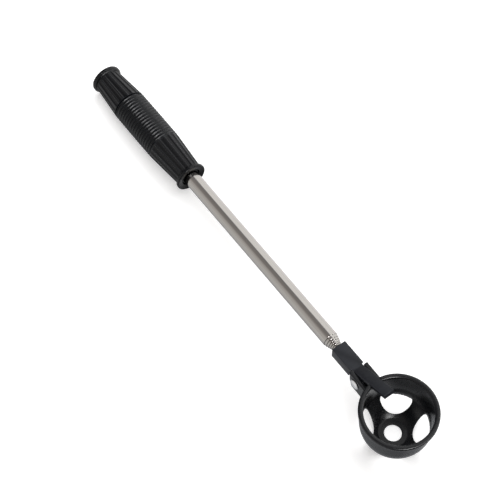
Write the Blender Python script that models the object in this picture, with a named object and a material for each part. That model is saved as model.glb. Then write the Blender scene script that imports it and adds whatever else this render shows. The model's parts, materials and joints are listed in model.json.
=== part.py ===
"""Telescopic golf ball retriever, modelled in metres with +Z up.

A fluted grip holds seven nested steel tubes. The innermost one carries a moulded head block with a guard
tongue, and a cup for the ball swings on a rivet below the tongue. Everything but the cup is drawn in the
tool's own frame: the shaft's axis is X, the butt end is x = 0 and the mouth of the cup faces +Z. The frame
is then inclined a little, so that the butt flange and the foot of the upright cup both rest on z = 0.
"""

import math

import bmesh
import bpy
from mathutils import Vector

# Tubes. Each section is one step smaller than the one around it, and slides TRAVEL out of it.
SECTIONS = 7
OUTER_TUBE_RADIUS = 0.0060
TUBE_STEP = 0.0005
TUBE_WALL = 0.00025
TUBE_REAR = 0.0060
TUBE_FRONT = 0.2783
RIM_SPACING = (0.0020, 0.0018, 0.0015, 0.0013, 0.0011)
TRAVEL = 0.240
NECK_LENGTH = 0.0025
NECK_DROP = 0.00028
NECK_BENDS = ((0.5, 0.00003), (0.2, 0.00012))  # distance from the mouth as a share of the neck, and drop
THROAT_SHARE = 0.85
RUNNING_GAP = 0.00008
STOP_GAP = 0.0003
TUBE_SEGMENTS = 24

# Friction collars: split brass sleeves, held at the rear end of every sliding tube.
COLLAR_LENGTH = 0.0120
COLLAR_GAP = 0.00002
COLLAR_SLIT_DEG = 30.0
REAR_FLANGE_LENGTH = 0.0010
REAR_FLANGE_HEIGHT = 0.00015

# Grip: a flange at each end, flutes, a band of rings in the middle, flutes again.
GRIP_LENGTH = 0.1132
FLANGE_RADIUS = 0.0120
FLANGE_EDGE = 0.0020
FLANGE_THICKNESS = 0.0040
FLUTED_END = GRIP_LENGTH - FLANGE_THICKNESS
GRIP_END_RADIUS = 0.01045
BAND_END_RADIUS = 0.0130
BAND_BULGE = 0.0001
RING_START = 0.0324
RING_PITCH = 0.0027
RING_COUNT = 17
RING_DEPTH = 0.0006
RING_END = RING_START + RING_COUNT * RING_PITCH
PLAIN_LAND = 0.0006
FLUTE_DEPTH = 0.0005
FLUTES = 18
GRIP_SEGMENTS = 2 * FLUTES
GRIP_BORE_RADIUS = 0.0070
MOUTH_DEPTH = 0.0030
MOUTH_RADIUS = 0.0074

# Sleeve between grip and outer tube, and the plug that closes the butt.
SLEEVE_REAR = 0.0045
SLEEVE_FRONT_INSET = 0.0016
SLEEVE_INNER_RADIUS = 0.00615
SLEEVE_OUTER_RADIUS = 0.0066
PLUG_HEAD_RADIUS = 0.0088
PLUG_HEAD_THICKNESS = 0.0022
PLUG_HEAD_INSET = 0.0006
PLUG_HEAD_EDGE = 0.0006
PLUG_DOME_HEIGHT = 0.0004
PLUG_DOME_SHARE = 0.8
PLUG_SHANK_RADIUS = 0.0052
PLUG_SHANK_TAPER = 0.0008
PLUG_LENGTH = 0.0200

# Head block: a square body that narrows to a blade between the ears of the cup.
BLOCK_REAR = 0.28645
BLOCK_WIDTH = 0.0112
BLOCK_DEPTH = 0.0096
BLADE_WIDTH = 0.0082
BLADE_NOSE_RADIUS = 0.0062
NOSE_END_DEG = 62.0
BLOCK_BORE_RADIUS = 0.00315
BLOCK_BORE_DEPTH = 0.0100
BORE_OVERRUN = 0.0010
INNER_TUBE_SEATED = 0.0094

# Guard tongue: a straight bar that rises from the block's face and reaches over the mouth of the cup.
TONGUE_ROOT = 0.3082
TONGUE_TIP = 0.3390
TONGUE_RISE_DEG = 23.5
TONGUE_THICKNESS = 0.0029

# Stud that ties the innermost tube to the block.
STUD_TUBE_RADIUS = 0.0026
STUD_TUBE_LENGTH = 0.0120
STUD_TIP_RADIUS = 0.0020
STUD_TIP_LENGTH = 0.0070
STUD_CLEARANCE = 0.0003

# Hinge of the cup.
HINGE_X = 0.3140
HINGE_Z = -0.0010
RIVET_RADIUS = 0.0018
RIVET_BORE_RADIUS = 0.0021
RIVET_HEAD_RADIUS = 0.0040
RIVET_HEAD_HEIGHT = 0.0014
RIVET_TAIL_RADIUS = 0.0026
RIVET_TAIL_HEIGHT = 0.0007
RIVET_TAIL_TAPER = 0.0004
RIVET_DOME_STEPS = 3
WASHER_RADIUS = 0.0032
WASHER_THICKNESS = 0.0004
TAIL_POCKET_RADIUS = 0.0036
TAIL_POCKET_DEPTH = 0.0017
FACE_GAP = 0.0003
HINGE_SEGMENTS = 24

# Ears of the cup, measured from the hinge.
EAR_INNER = 0.0045
EAR_OUTER = 0.0075
EAR_TOP = 0.0061
EAR_BOTTOM = 0.0080
EAR_REAR_TOP = 0.0064
EAR_REAR_MIDDLE = 0.0056
EAR_REAR_BOTTOM = 0.0028
EAR_BEND_Z = -0.0010
EAR_LEAN_Z = -0.0020
EAR_END_AT_WALL = 0.0126
EAR_END_AT_BOWL = 0.0130
WEB_REAR = 0.0055
WEB_FRONT = 0.0122
WEB_TOP = -0.0062
WEB_BOTTOM = -0.0076
WEB_OVERLAP = 0.0010
SHOULDER_BEHIND_HINGE = 0.0075
SWING_RELIEF_RADIUS = 0.0088

# Cup: a straight wall over a bowl that follows the ball, with a lip round the mouth.
CUP_OFFSET = 0.0362
CUP_FLOOR_DROP = 0.0265
CUP_HEIGHT = 0.0400
LIP_RADIUS = 0.0274
LIP_HEIGHT = 0.0034
LIP_ROUNDING = 0.0007
LIP_UNDERCUT = 0.0003
LIP_SWELL_TOP = 0.0010
WALL_OUTER_RADIUS = 0.0252
WALL_THICKNESS = 0.0014
FOOT_RADIUS = 0.0100
FLOOR_THICKNESS = 0.0016
CENTRE_HOLE_RADIUS = 0.00605
CUP_SEGMENTS = 48
BOWL_STEPS = 6
WINDOW_CENTRE_RADIUS = 0.0270
WINDOW_RADIUS = 0.0137
WINDOW_LIMIT_RADIUS = 0.0232
WINDOW_STEPS = 7
WINDOW_TIP_ROUNDING = 0.0026
WINDOW_TURN_DEG = 3.5
WINDOW_CUT_LOW = -0.0050
WINDOW_CUT_HIGH = 0.0200
NOTCH_FLOOR = 0.0099
NOTCH_END = 0.0136

# The hinge lies this far along and above the butt flange's lowest point, and the floor of the cup below it.
HINGE_RUN = HINGE_X - FLANGE_THICKNESS / 2
HINGE_RISE = FLANGE_RADIUS + HINGE_Z
INCLINE = math.asin(CUP_FLOOR_DROP / math.hypot(HINGE_RUN, HINGE_RISE)) - math.atan2(HINGE_RISE, HINGE_RUN)
FULL_TURN = 2 * math.pi


def clear_scene():
    for item in list(bpy.data.objects):
        bpy.data.objects.remove(item, do_unlink=True)


def make_material(name, colour, roughness, metallic):
    material = bpy.data.materials.new(name)
    material.use_nodes = True
    shader = material.node_tree.nodes["Principled BSDF"]
    shader.inputs["Base Color"].default_value = (*colour, 1.0)
    shader.inputs["Roughness"].default_value = roughness
    shader.inputs["Metallic"].default_value = metallic
    return material


def make_empty(name, parent=None, location=(0, 0, 0), tilt=0.0):
    """An empty turned by tilt about Y, which lifts its +X end."""
    empty = bpy.data.objects.new(name, None)
    bpy.context.scene.collection.objects.link(empty)
    empty.parent = parent
    empty.location = location
    empty.rotation_euler = (0.0, -tilt, 0.0)
    return empty


def make_object(name, mesh_data, material, parent, sharp_deg=35.0):
    """Turn a bmesh into an object under parent, with its faces outwards and its edges shaded by angle."""
    bmesh.ops.recalc_face_normals(mesh_data, faces=mesh_data.faces)
    mesh = bpy.data.meshes.new(name)
    mesh_data.to_mesh(mesh)
    mesh_data.free()
    mesh.shade_smooth()
    mesh.set_sharp_from_angle(angle=math.radians(sharp_deg))
    item = bpy.data.objects.new(name, mesh)
    bpy.context.scene.collection.objects.link(item)
    item.parent = parent
    if material:
        mesh.materials.append(material)
    return item


def revolved(profile, segments, axis="X", sweep=FULL_TURN, radius_at=None):
    """Spin a closed loop of (along, radius) points about an axis and return the closed bmesh.

    A point of radius 0 becomes a single vertex on the axis. radius_at(along, radius, step) may change a
    point's radius with the step round the axis. A sweep short of a full turn gets a flat face at each end.
    """
    mesh = bmesh.new()
    full = sweep == FULL_TURN
    steps = segments if full else segments + 1

    def point(along, radius, step):
        if radius_at:
            radius = radius_at(along, radius, step)
        angle = sweep * step / segments
        across, up = radius * math.sin(angle), -radius * math.cos(angle)
        if axis == "X":
            return (along, across, up)
        if axis == "Y":
            return (across, along, up)
        return (across, up, along)

    rings = []
    for along, radius in profile:
        count = 1 if radius == 0 else steps
        rings.append([mesh.verts.new(point(along, radius, step)) for step in range(count)])
    for near, far in zip(rings, rings[1:] + rings[:1]):
        for step in range(segments):
            after = (step + 1) % steps
            corners = []
            for vertex in (near[step % len(near)], near[after % len(near)],
                           far[after % len(far)], far[step % len(far)]):
                if vertex not in corners:
                    corners.append(vertex)
            if len(corners) > 2:
                mesh.faces.new(corners)
    if not full:
        mesh.faces.new([ring[0] for ring in rings])
        mesh.faces.new([ring[-1] for ring in rings])
    return mesh


def extruded(outline, low, high, axis="Y"):
    """A prism: the outline's (x, other) points, pushed along the axis from low to high."""
    mesh = bmesh.new()

    def point(first, second, along):
        return (first, along, second) if axis == "Y" else (first, second, along)

    floor = [mesh.verts.new(point(*corner, low)) for corner in outline]
    roof = [mesh.verts.new(point(*corner, high)) for corner in outline]
    mesh.faces.new(floor)
    mesh.faces.new(roof)
    for index in range(len(outline)):
        after = (index + 1) % len(outline)
        mesh.faces.new((floor[index], floor[after], roof[after], roof[index]))
    return mesh


def arc(centre, radius, start_deg, end_deg, steps):
    """Points on an arc from start to end, both included."""
    points = []
    for index in range(steps + 1):
        angle = math.radians(start_deg + (end_deg - start_deg) * index / steps)
        points.append((centre[0] + radius * math.cos(angle), centre[1] + radius * math.sin(angle)))
    return points


def as_helper(item):
    item.hide_render = True
    item.display_type = "WIRE"
    return item


def combine(target, tool, operation):
    modifier = target.modifiers.new(f"{operation.lower()} {tool.name}", "BOOLEAN")
    modifier.operation = operation
    modifier.solver = "EXACT"
    modifier.object = as_helper(tool)


# ---------------------------------------------------------------- grip

def barrel_radius(along):
    """Radius of the grip's body: a cone from each flange to the ring band, and a slight swell along the band."""
    if along < RING_START:
        share = (along - FLANGE_THICKNESS) / (RING_START - FLANGE_THICKNESS)
        return GRIP_END_RADIUS + (BAND_END_RADIUS - GRIP_END_RADIUS) * share
    if along > RING_END:
        share = (FLUTED_END - along) / (FLUTED_END - RING_END)
        return GRIP_END_RADIUS + (BAND_END_RADIUS - GRIP_END_RADIUS) * share
    share = (along - RING_START) / (RING_END - RING_START)
    return BAND_END_RADIUS + BAND_BULGE * math.sin(math.pi * share)


def flange_outline(rear, front):
    """Rounded outer edge of a flange that reaches from rear to front."""
    core = FLANGE_RADIUS - FLANGE_EDGE
    points = arc((rear + FLANGE_EDGE, core), FLANGE_EDGE, 180, 90, 3)
    points += arc((front - FLANGE_EDGE, core), FLANGE_EDGE, 90, 0, 3)
    return points


def fluted_radius(along, radius, step):
    """Every second line of the fluted stretches lies deeper, which cuts the flutes."""
    fluted = FLANGE_THICKNESS < along < RING_START or RING_END < along < FLUTED_END
    on_body = abs(radius - barrel_radius(along)) < 1e-9
    if fluted and on_body and step % 2:
        return radius - FLUTE_DEPTH
    return radius


def build_grip(parent, rubber):
    profile = flange_outline(0.0, FLANGE_THICKNESS)
    for along in (FLANGE_THICKNESS + PLAIN_LAND, RING_START - PLAIN_LAND):
        profile.append((along, barrel_radius(along)))
    for ring in range(RING_COUNT):
        valley = RING_START + ring * RING_PITCH
        crest = valley + RING_PITCH / 2
        profile.append((valley, barrel_radius(valley) - RING_DEPTH))
        profile.append((crest, barrel_radius(crest)))
    profile.append((RING_END, barrel_radius(RING_END) - RING_DEPTH))
    for along in (RING_END + PLAIN_LAND, FLUTED_END - PLAIN_LAND):
        profile.append((along, barrel_radius(along)))
    profile += flange_outline(FLUTED_END, GRIP_LENGTH)
    mouth_floor = GRIP_LENGTH - MOUTH_DEPTH
    seat = PLUG_HEAD_INSET + PLUG_HEAD_THICKNESS + FACE_GAP
    seat_radius = PLUG_HEAD_RADIUS + FACE_GAP
    profile += [(GRIP_LENGTH, MOUTH_RADIUS), (mouth_floor, MOUTH_RADIUS), (mouth_floor, GRIP_BORE_RADIUS)]
    profile += [(seat, GRIP_BORE_RADIUS), (seat, seat_radius), (0.0, seat_radius)]
    mesh = revolved(profile, GRIP_SEGMENTS, radius_at=fluted_radius)
    return make_object("grip", mesh, rubber, parent)


def build_grip_sleeve(parent, plastic):
    front = GRIP_LENGTH - SLEEVE_FRONT_INSET
    profile = [(SLEEVE_REAR, SLEEVE_INNER_RADIUS), (front, SLEEVE_INNER_RADIUS),
               (front, SLEEVE_OUTER_RADIUS), (SLEEVE_REAR, SLEEVE_OUTER_RADIUS)]
    return make_object("grip_sleeve", revolved(profile, TUBE_SEGMENTS), plastic, parent)


def build_butt_plug(parent, plastic):
    """A domed disc in the butt of the grip, with a shank that closes the outer tube."""
    face = PLUG_HEAD_INSET
    back = face + PLUG_HEAD_THICKNESS
    profile = [(face - PLUG_DOME_HEIGHT, 0.0), (face, PLUG_HEAD_RADIUS * PLUG_DOME_SHARE),
               (face + PLUG_HEAD_EDGE, PLUG_HEAD_RADIUS), (back, PLUG_HEAD_RADIUS), (back, PLUG_SHANK_RADIUS),
               (PLUG_LENGTH - PLUG_SHANK_TAPER, PLUG_SHANK_RADIUS),
               (PLUG_LENGTH, PLUG_SHANK_RADIUS - PLUG_SHANK_TAPER), (PLUG_LENGTH, 0.0)]
    return make_object("butt_plug", revolved(profile, TUBE_SEGMENTS), plastic, parent)


# ---------------------------------------------------------------- telescopic tubes

def tube_radius(section):
    """Outer radius of a section; section 1 is the outer tube."""
    return OUTER_TUBE_RADIUS - (section - 1) * TUBE_STEP


def tube_front(section):
    """Front end of a section when the tool is pushed together."""
    if section == SECTIONS:
        return BLOCK_REAR + INNER_TUBE_SEATED
    return TUBE_FRONT + sum(RIM_SPACING[:section - 1])


def collar_front(section):
    """Front face of a section's collar, one full travel behind the neck that stops it."""
    return tube_front(section - 1) - NECK_LENGTH - STOP_GAP - TRAVEL


def tube_profile(section):
    """Wall of one tube. Its front end is necked in, except on the innermost one; a small flange at the
    rear end of a sliding tube holds its collar."""
    radius = tube_radius(section)
    inner = radius - TUBE_WALL
    front = tube_front(section)
    if section == SECTIONS:
        outside = [(front, radius)]
        inside = [(front, inner)]
    else:
        throat = radius - TUBE_STEP + RUNNING_GAP
        outside = [(front - NECK_LENGTH, radius)]
        outside += [(front - share * NECK_LENGTH, radius - drop) for share, drop in NECK_BENDS]
        outside.append((front, radius - NECK_DROP))
        inside = [(front, throat), (front - THROAT_SHARE * NECK_LENGTH, throat), (front - NECK_LENGTH, inner)]
    if section == 1:
        return [(TUBE_REAR, inner), (TUBE_REAR, radius)] + outside + inside
    seat = collar_front(section) - COLLAR_LENGTH - COLLAR_GAP
    rear = seat - REAR_FLANGE_LENGTH
    flange = radius + REAR_FLANGE_HEIGHT
    return [(rear, inner), (rear, flange), (seat, flange), (seat, radius)] + outside + inside


def build_tube(section, parent, steel):
    name = "outer_tube" if section == 1 else f"tube_{section}"
    return make_object(name, revolved(tube_profile(section), TUBE_SEGMENTS), steel, parent)


def build_collar(section, parent, brass):
    inner = tube_radius(section) + COLLAR_GAP
    outer = tube_radius(section - 1) - TUBE_WALL - COLLAR_GAP
    front = collar_front(section)
    rear = front - COLLAR_LENGTH
    profile = [(rear, inner), (rear, outer), (front, outer), (front, inner)]
    slit_steps = round(TUBE_SEGMENTS * COLLAR_SLIT_DEG / 360)
    sweep = FULL_TURN * (TUBE_SEGMENTS - slit_steps) / TUBE_SEGMENTS
    mesh = revolved(profile, TUBE_SEGMENTS - slit_steps, sweep=sweep)
    return make_object(f"friction_collar_{section}", mesh, brass, parent)


# ---------------------------------------------------------------- head block

def head_block_outline():
    """Side view of block, blade and tongue: the blade ends in a round nose about the hinge."""
    half_depth = BLOCK_DEPTH / 2
    rise = math.radians(TONGUE_RISE_DEG)
    along = Vector((math.cos(rise), math.sin(rise)))
    normal = Vector((-along.y, along.x))
    root = Vector((TONGUE_ROOT, half_depth))
    tip = root + along * (TONGUE_TIP - TONGUE_ROOT) / along.x
    below_tip = tip - normal * TONGUE_THICKNESS
    nose_start = -math.degrees(math.asin((HINGE_Z + half_depth) / BLADE_NOSE_RADIUS))
    nose = arc((HINGE_X, HINGE_Z), BLADE_NOSE_RADIUS, nose_start, NOSE_END_DEG, 8)
    below_root = below_tip + along * (Vector(nose[-1]) - below_tip).dot(along)
    return ([(BLOCK_REAR, -half_depth)] + nose
            + [tuple(below_root), tuple(below_tip), tuple(tip), tuple(root), (BLOCK_REAR, half_depth)])


def side_cut_outline():
    """All that lies in front of the shoulder, with the relief that the ears' lower corners swing through."""
    rear = HINGE_X - SHOULDER_BEHIND_HINGE
    relief_rear = HINGE_X - SWING_RELIEF_RADIUS
    far = TONGUE_TIP + BLOCK_WIDTH
    reach = 3 * BLOCK_DEPTH
    half_angle = math.degrees(math.acos(SHOULDER_BEHIND_HINGE / SWING_RELIEF_RADIUS))
    relief = arc((HINGE_X, HINGE_Z), SWING_RELIEF_RADIUS, 180 - half_angle, 180, 4)
    return [(rear, reach)] + relief + [(relief_rear, -reach), (far, -reach), (far, reach)]


def build_head_block(parent, plastic):
    half_width = BLOCK_WIDTH / 2
    block = make_object("head_block", extruded(head_block_outline(), -half_width, half_width), plastic, parent)
    for side, name in ((1, "side_cut_left"), (-1, "side_cut_right")):
        near, far = sorted((side * BLADE_WIDTH / 2, side * BLOCK_WIDTH))
        combine(block, make_object(name, extruded(side_cut_outline(), near, far), None, parent), "DIFFERENCE")
    bore_end = BLOCK_REAR + BLOCK_BORE_DEPTH
    stud_end = bore_end + STUD_TIP_LENGTH
    stud_bore = STUD_TIP_RADIUS + STUD_CLEARANCE
    bore = [(BLOCK_REAR - BORE_OVERRUN, 0.0), (BLOCK_REAR - BORE_OVERRUN, BLOCK_BORE_RADIUS),
            (bore_end, BLOCK_BORE_RADIUS), (bore_end, stud_bore), (stud_end, stud_bore), (stud_end, 0.0)]
    combine(block, make_object("block_bore", revolved(bore, TUBE_SEGMENTS), None, parent), "DIFFERENCE")
    pin_hole = [(-BLOCK_WIDTH, 0.0), (-BLOCK_WIDTH, RIVET_BORE_RADIUS),
                (BLOCK_WIDTH, RIVET_BORE_RADIUS), (BLOCK_WIDTH, 0.0)]
    hole = make_object("blade_hole", revolved(pin_hole, HINGE_SEGMENTS, axis="Y"), None, parent)
    hole.location = (HINGE_X, 0.0, HINGE_Z)
    combine(block, hole, "DIFFERENCE")


def build_head_stud(parent, steel):
    """Stepped pin: its thick end fills the innermost tube, its thin end is held in the block."""
    shoulder = tube_front(SECTIONS)
    rear = shoulder - STUD_TUBE_LENGTH
    tip = shoulder + STUD_TIP_LENGTH - FACE_GAP
    profile = [(rear, 0.0), (rear, STUD_TUBE_RADIUS), (shoulder, STUD_TUBE_RADIUS),
               (shoulder, STUD_TIP_RADIUS), (tip, STUD_TIP_RADIUS), (tip, 0.0)]
    return make_object("head_stud", revolved(profile, TUBE_SEGMENTS), steel, parent)


# ---------------------------------------------------------------- cup and hinge

def cup_profile():
    """Half section of the cup about its own axis, from the foot up the outside, over the lip, back inside."""
    bowl_centre = math.sqrt(WALL_OUTER_RADIUS ** 2 - FOOT_RADIUS ** 2)
    foot_deg = -math.degrees(math.acos(FOOT_RADIUS / WALL_OUTER_RADIUS))
    inner = WALL_OUTER_RADIUS - WALL_THICKNESS
    floor_deg = -math.degrees(math.asin((bowl_centre - FLOOR_THICKNESS) / inner))
    outside = arc((0.0, bowl_centre), WALL_OUTER_RADIUS, foot_deg, 0, BOWL_STEPS)
    inside = arc((0.0, bowl_centre), inner, 0, floor_deg, BOWL_STEPS)
    under_lip = CUP_HEIGHT - LIP_HEIGHT
    points = [(0.0, CENTRE_HOLE_RADIUS)] + [(height, radius) for radius, height in outside]
    points += [(under_lip, WALL_OUTER_RADIUS), (under_lip + LIP_UNDERCUT, LIP_RADIUS - LIP_UNDERCUT),
               (under_lip + LIP_SWELL_TOP, LIP_RADIUS), (CUP_HEIGHT - LIP_ROUNDING, LIP_RADIUS),
               (CUP_HEIGHT, LIP_RADIUS - LIP_ROUNDING), (CUP_HEIGHT, inner + LIP_ROUNDING),
               (CUP_HEIGHT - LIP_ROUNDING, inner)]
    points += [(height, radius) for radius, height in inside]
    points.append((FLOOR_THICKNESS, CENTRE_HOLE_RADIUS))
    return points


def window_outline():
    """A lens: the cup's own circle outside, and an arc that bulges towards the centre hole inside. Each arc
    stops short of the point where they meet, and one point between them rounds the tip."""
    offset, reach, limit = WINDOW_CENTRE_RADIUS, WINDOW_RADIUS, WINDOW_LIMIT_RADIUS
    meet_x = (offset ** 2 + limit ** 2 - reach ** 2) / (2 * offset)
    meet_y = math.sqrt(limit ** 2 - meet_x ** 2)
    outer_deg = math.degrees(math.atan2(meet_y, meet_x) - WINDOW_TIP_ROUNDING / limit)
    inner_deg = math.degrees(math.atan2(meet_y, meet_x - offset) + WINDOW_TIP_ROUNDING / reach)
    outside = arc((0.0, 0.0), limit, -outer_deg, outer_deg, WINDOW_STEPS)
    inside = arc((offset, 0.0), reach, inner_deg, 360 - inner_deg, WINDOW_STEPS)
    tip_x = (outside[-1][0] + inside[0][0] + 2 * meet_x) / 4
    tip_y = (outside[-1][1] + inside[0][1] + 2 * meet_y) / 4
    return outside + [(tip_x, tip_y)] + inside + [(tip_x, -tip_y)]


def ear_outline():
    """Side view of an ear about the hinge. Its end lies inside the wall, and leans in where the bowl does."""
    return [(-EAR_REAR_TOP, EAR_TOP), (-EAR_REAR_MIDDLE, EAR_BEND_Z), (-EAR_REAR_BOTTOM, -EAR_BOTTOM),
            (EAR_END_AT_BOWL, -EAR_BOTTOM), (EAR_END_AT_WALL, EAR_LEAN_Z), (EAR_END_AT_WALL, EAR_TOP)]


def web_outline():
    """Side view of the web that ties the ears together below the round nose of the blade."""
    return [(WEB_REAR, WEB_BOTTOM), (WEB_FRONT, WEB_BOTTOM), (WEB_FRONT, WEB_TOP), (WEB_REAR, WEB_TOP)]


def build_cup(hinge_axis, plastic):
    """The cup in its hinge's frame: bowl, ears and web, rivet holes, the notch for the tongue, windows."""
    mesh = revolved(cup_profile(), CUP_SEGMENTS, axis="Z")
    bmesh.ops.translate(mesh, verts=mesh.verts, vec=(CUP_OFFSET, 0.0, -CUP_FLOOR_DROP))
    cup = make_object("cup", mesh, plastic, hinge_axis)
    for side, name in ((1, "ear_left"), (-1, "ear_right")):
        near, far = sorted((side * EAR_INNER, side * EAR_OUTER))
        combine(cup, make_object(name, extruded(ear_outline(), near, far), plastic, hinge_axis), "UNION")
    web_half_width = EAR_INNER + WEB_OVERLAP
    web = make_object("ear_web", extruded(web_outline(), -web_half_width, web_half_width), plastic, hinge_axis)
    combine(cup, web, "UNION")
    pocket = EAR_OUTER - TAIL_POCKET_DEPTH
    hole = [(-LIP_RADIUS, 0.0), (-LIP_RADIUS, RIVET_BORE_RADIUS), (pocket, RIVET_BORE_RADIUS),
            (pocket, TAIL_POCKET_RADIUS), (LIP_RADIUS, TAIL_POCKET_RADIUS), (LIP_RADIUS, 0.0)]
    hole_mesh = revolved(hole, HINGE_SEGMENTS, axis="Y")
    combine(cup, make_object("ear_hole", hole_mesh, None, hinge_axis), "DIFFERENCE")
    notch = [(0.0, NOTCH_FLOOR), (NOTCH_END, NOTCH_FLOOR), (NOTCH_END, CUP_HEIGHT), (0.0, CUP_HEIGHT)]
    notch_mesh = extruded(notch, -EAR_INNER, EAR_INNER)
    combine(cup, make_object("tongue_notch", notch_mesh, None, hinge_axis), "DIFFERENCE")
    for quarter in range(4):
        lens_mesh = extruded(window_outline(), WINDOW_CUT_LOW, WINDOW_CUT_HIGH, axis="Z")
        lens = make_object(f"window_{quarter + 1}", lens_mesh, None, hinge_axis)
        lens.location = (CUP_OFFSET, 0.0, -CUP_FLOOR_DROP)
        lens.rotation_euler = (0.0, 0.0, math.radians(45 + 90 * quarter + WINDOW_TURN_DEG))
        combine(cup, lens, "DIFFERENCE")


def build_rivet(hinge_axis, steel):
    """Domed head outside the right ear, shank through ears and blade, tail spread over the washer in the
    left ear's pocket."""
    head = -(EAR_OUTER + FACE_GAP)
    seat = EAR_OUTER - TAIL_POCKET_DEPTH + 2 * FACE_GAP + WASHER_THICKNESS
    end = seat + RIVET_TAIL_HEIGHT
    profile = [(head - RIVET_HEAD_HEIGHT, 0.0)]
    for step in range(1, RIVET_DOME_STEPS + 1):
        turn = math.pi / 2 * step / RIVET_DOME_STEPS
        profile.append((head - RIVET_HEAD_HEIGHT * math.cos(turn), RIVET_HEAD_RADIUS * math.sin(turn)))
    profile += [(head, RIVET_RADIUS), (seat, RIVET_RADIUS), (seat, RIVET_TAIL_RADIUS),
                (end - RIVET_TAIL_TAPER, RIVET_TAIL_RADIUS), (end, RIVET_TAIL_RADIUS - RIVET_TAIL_TAPER),
                (end, 0.0)]
    return make_object("hinge_rivet", revolved(profile, HINGE_SEGMENTS, axis="Y"), steel, hinge_axis)


def build_washer(hinge_axis, steel):
    near = EAR_OUTER - TAIL_POCKET_DEPTH + FACE_GAP
    far = near + WASHER_THICKNESS
    profile = [(near, RIVET_BORE_RADIUS), (near, WASHER_RADIUS), (far, WASHER_RADIUS),
               (far, RIVET_BORE_RADIUS)]
    return make_object("rivet_washer", revolved(profile, HINGE_SEGMENTS, axis="Y"), steel, hinge_axis)


def main():
    clear_scene()
    rubber = make_material("grip_rubber", (0.012, 0.013, 0.015), 0.45, 0.0)
    black_plastic = make_material("black_plastic", (0.030, 0.033, 0.040), 0.50, 0.0)
    steel = make_material("stainless_steel", (0.62, 0.60, 0.58), 0.28, 1.0)
    bright_steel = make_material("bright_steel", (0.80, 0.80, 0.80), 0.18, 1.0)
    brass = make_material("brass", (0.70, 0.52, 0.25), 0.35, 1.0)

    front = HINGE_X * math.cos(INCLINE) - HINGE_Z * math.sin(INCLINE) + CUP_OFFSET + LIP_RADIUS
    overhang = (FLANGE_RADIUS - FLANGE_EDGE) * math.sin(INCLINE)
    butt_height = FLANGE_RADIUS * math.cos(INCLINE) - FLANGE_THICKNESS / 2 * math.sin(INCLINE)
    tool_frame = make_empty("tool_frame", location=((overhang - front) / 2, 0.0, butt_height), tilt=INCLINE)
    hinge_axis = make_empty("hinge_axis", tool_frame, (HINGE_X, 0.0, HINGE_Z), tilt=-INCLINE)

    build_grip(tool_frame, rubber)
    build_grip_sleeve(tool_frame, black_plastic)
    build_butt_plug(tool_frame, black_plastic)
    for section in range(1, SECTIONS + 1):
        build_tube(section, tool_frame, steel)
    for section in range(2, SECTIONS + 1):
        build_collar(section, tool_frame, brass)
    build_head_block(tool_frame, black_plastic)
    build_head_stud(tool_frame, bright_steel)
    build_cup(hinge_axis, black_plastic)
    build_rivet(hinge_axis, bright_steel)
    build_washer(hinge_axis, bright_steel)


main()
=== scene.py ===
"""Looks of the golf ball retriever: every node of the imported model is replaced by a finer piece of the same
size and place, on a pale floor under soft boxes. Metres, +Z up."""

import json
import math

import bmesh
import bpy
from mathutils import Matrix, Vector

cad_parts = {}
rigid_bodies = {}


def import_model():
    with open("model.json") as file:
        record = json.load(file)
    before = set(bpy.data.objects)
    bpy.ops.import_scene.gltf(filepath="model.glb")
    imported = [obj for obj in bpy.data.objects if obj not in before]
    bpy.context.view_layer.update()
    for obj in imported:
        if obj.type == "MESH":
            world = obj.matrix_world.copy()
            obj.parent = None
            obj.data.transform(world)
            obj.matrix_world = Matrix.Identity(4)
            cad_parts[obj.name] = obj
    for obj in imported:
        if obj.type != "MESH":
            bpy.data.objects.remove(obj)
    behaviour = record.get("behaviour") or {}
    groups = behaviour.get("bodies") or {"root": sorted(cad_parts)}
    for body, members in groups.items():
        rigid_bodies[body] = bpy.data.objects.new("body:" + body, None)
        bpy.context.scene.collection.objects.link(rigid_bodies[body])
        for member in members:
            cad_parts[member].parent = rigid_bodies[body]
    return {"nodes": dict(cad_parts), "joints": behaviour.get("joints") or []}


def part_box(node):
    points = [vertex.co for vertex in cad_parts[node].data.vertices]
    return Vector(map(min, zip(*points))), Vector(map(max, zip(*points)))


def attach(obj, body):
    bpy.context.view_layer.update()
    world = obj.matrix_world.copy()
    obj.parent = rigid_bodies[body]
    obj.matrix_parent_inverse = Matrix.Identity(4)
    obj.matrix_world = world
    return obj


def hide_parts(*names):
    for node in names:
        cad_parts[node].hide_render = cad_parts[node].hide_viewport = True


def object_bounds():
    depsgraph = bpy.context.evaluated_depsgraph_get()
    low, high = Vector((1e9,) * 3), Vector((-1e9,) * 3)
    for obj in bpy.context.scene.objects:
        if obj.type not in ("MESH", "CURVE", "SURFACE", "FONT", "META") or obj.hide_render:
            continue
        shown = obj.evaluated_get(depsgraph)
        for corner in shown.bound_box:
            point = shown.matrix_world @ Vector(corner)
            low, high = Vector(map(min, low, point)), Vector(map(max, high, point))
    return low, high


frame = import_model()

CAD_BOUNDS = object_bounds()
FULL_TURN = 2 * math.pi
MM = 0.001
SAME_POINT = 1e-6
# The most of an edge that the rounding at one of its ends may use.
FILLET_SHARE = 0.48

# ------------------------------------------------------------ sizes, in mm unless a name says otherwise

# The hinge's place in the tool's own frame, whose X is the shaft's axis and whose x = 0 is the butt.
HINGE_ALONG, HINGE_UP = 314.0, -1.0

# Grip.
FLANGE_RADIUS = 12.0
FLANGE_THICKNESS, FRONT_FLANGE_THICKNESS = 4.0, 2.9
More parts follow.
